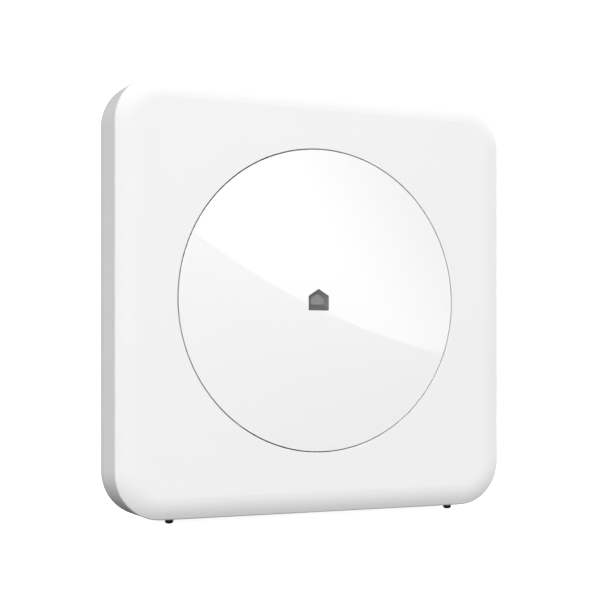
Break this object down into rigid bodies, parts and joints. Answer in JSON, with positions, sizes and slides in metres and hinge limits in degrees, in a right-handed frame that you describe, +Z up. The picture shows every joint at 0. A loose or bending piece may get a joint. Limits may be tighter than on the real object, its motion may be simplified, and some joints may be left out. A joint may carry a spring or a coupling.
{
  "type": "smart home hub",
  "caption": "Upright rounded-square hub with a large round press face, a house-shaped status window, rubber feet, and a cable niche and wall keyholes behind.",
  "frame": {"origin": "on the table plane under the middle of the hub's bounding box", "axes": "+Z up, the round face looks along -Y, X to the viewer's right as one looks at the face"},
  "size_m": [0.18, 0.038, 0.1819],
  "materials": {
    "housing_white": "satin moulded",
    "disc_white": "polished clear-coated",
    "lens_smoke": "translucent smoked",
    "dark_plastic": "fine texture",
    "panel_grey": "fine texture",
    "foot_rubber": "smooth",
    "label_paper": "satin film",
    "silicone_grey": "moulded silicone",
    "board_green": "solder resist",
    "led_body": "moulded white with clear fill",
    "foam_grey": "closed-cell foam",
    "switch_black": "moulded",
    "stem_white": "moulded",
    "connector_ivory": "moulded",
    "ribbon_white": "laminated film",
    "chip_black": "epoxy",
    "pad_grey": "soft silicone",
    "heatsink_alu": "extruded",
    "can_tin": "tin plated",
    "module_blue": "solder resist",
    "gold_brass": "plated",
    "antenna_copper": "etched copper strip",
    "cable_grey": "extruded jacket",
    "cell_steel": "polished can",
    "capacitor_black": "sleeved can",
    "inductor_grey": "pressed ferrite",
    "jack_shield": "bright plated",
    "jack_black": "moulded",
    "usb_blue": "moulded",
    "screw_steel": "zinc plated",
    "screw_black": "black zinc",
    "button_grey": "satin"
  },
  "bodies": {
    "housing": {"front_housing": "housing_white", "rear_housing": "housing_white", "rating_label": "label_paper", "port_panel": "panel_grey", "front_feet": "foot_rubber", "rear_feet": "foot_rubber", "return_cones": "silicone_grey", "inner_chassis": "dark_plastic", "led_board": "board_green", "status_leds": "led_body", "light_shroud": "foam_grey", "home_switch_body": "switch_black", "ribbon_connectors": "connector_ivory", "ribbon_cable": "ribbon_white", "main_board": "board_green", "processor": "chip_black", "thermal_pad": "pad_grey", "heatsink": "heatsink_alu", "memory_chips": "chip_black", "shield_cans": "can_tin", "radio_modules": "module_blue", "module_headers": "switch_black", "coaxial_sockets": "gold_brass", "antenna_strips": "antenna_copper", "antenna_cables": "cable_grey", "network_transformer": "chip_black", "crystals": "can_tin", "coin_cell_holder": "switch_black", "coin_cell": "cell_steel", "capacitors": "capacitor_black", "power_inductors": "inductor_grey", "ethernet_jack_shell": "jack_shield", "ethernet_jack_insert": "jack_black", "ethernet_contacts": "gold_brass", "usb_shells": "jack_shield", "usb_tongues": "usb_blue", "power_jack": "jack_black", "power_jack_pin": "jack_shield", "pairing_switch_body": "switch_black", "reset_switch_body": "switch_black", "housing_screws": "screw_black", "chassis_screws": "screw_steel", "led_board_screws": "screw_steel", "board_screws": "screw_steel"},
    "press_face": {"centre_disc": "disc_white", "status_lens": "lens_smoke", "disc_carrier": "dark_plastic"},
    "home_stem": {"home_switch_stem": "stem_white"},
    "pairing_cap": {"pairing_button": "button_grey"},
    "pairing_stem": {"pairing_switch_stem": "stem_white"},
    "reset_stem": {"reset_switch_stem": "stem_white"}
  },
  "joints": [
    {"name": "face_press", "type": "slide", "parent": "housing", "child": "press_face", "axis": [0, 1, 0], "range_m": [0, 0.0006], "stiffness_N_per_m": 1500, "springref_m": -0.0015, "deforming": ["return_cones"]},
    {"name": "home_stem_slide", "type": "slide", "parent": "housing", "child": "home_stem", "axis": [0, 1, 0], "range_m": [0, 0.0006]},
    {"name": "pairing_press", "type": "slide", "parent": "housing", "child": "pairing_cap", "axis": [0, 0, 1], "range_m": [0, 0.0004], "stiffness_N_per_m": 300, "springref_m": -0.0006},
    {"name": "pairing_stem_slide", "type": "slide", "parent": "housing", "child": "pairing_stem", "axis": [0, 0, 1], "range_m": [0, 0.0004]},
    {"name": "reset_press", "type": "slide", "parent": "housing", "child": "reset_stem", "axis": [0, 0, 1], "range_m": [0, 0.0003], "stiffness_N_per_m": 400, "springref_m": -0.0006}
  ],
  "couplings": [
    {"joint": "home_stem_slide", "follows": "face_press", "ratio": 1},
    {"joint": "pairing_stem_slide", "follows": "pairing_press", "ratio": 1}
  ]
}
